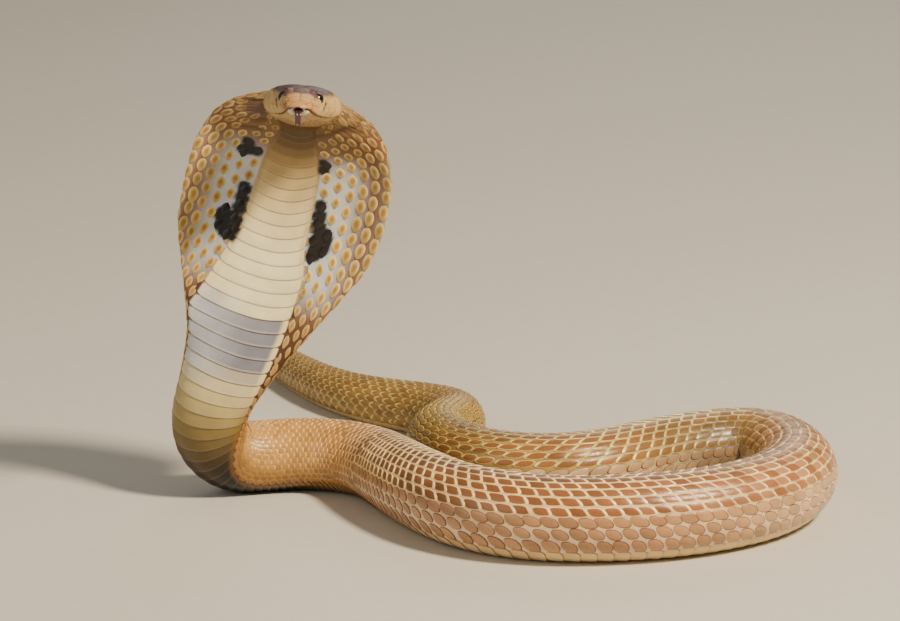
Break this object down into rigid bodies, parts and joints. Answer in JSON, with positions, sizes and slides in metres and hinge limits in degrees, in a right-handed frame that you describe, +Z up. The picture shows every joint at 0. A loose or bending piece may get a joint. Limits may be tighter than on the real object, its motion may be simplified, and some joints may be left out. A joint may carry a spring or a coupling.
{
  "type": "spectacled cobra model",
  "caption": "Life-size still model of a spectacled cobra with raised neck and spread hood, its body in loose coils on the floor.",
  "frame": {"origin": "bottom centre of the whole animal's box, on the floor under its belly", "axes": "+Z up; -Y is the way the raised head looks; +X is to the animal's own left at the hood"},
  "size_m": [0.2516, 0.4412, 0.1647],
  "materials": {
    "head_skin": "smooth scaled skin, satin",
    "hood_skin": "scaled skin with broad belly plates, satin",
    "body_skin": "brown scales with cream edges, satin",
    "tail_skin": "brown and cream scales, satin",
    "eye": "polished",
    "tongue": "moist satin"
  },
  "bodies": {
    "root": {"head": "head_skin", "eye_left": "eye", "eye_right": "eye", "tongue": "tongue", "hood": "hood_skin", "neck": "hood_skin", "body_1": "body_skin", "body_2": "body_skin", "body_3": "body_skin", "body_4": "body_skin", "body_5": "body_skin", "body_6": "body_skin", "body_7": "body_skin", "tail_1": "tail_skin", "tail_2": "tail_skin", "tail_tip": "tail_skin"}
  },
  "joints": []
}
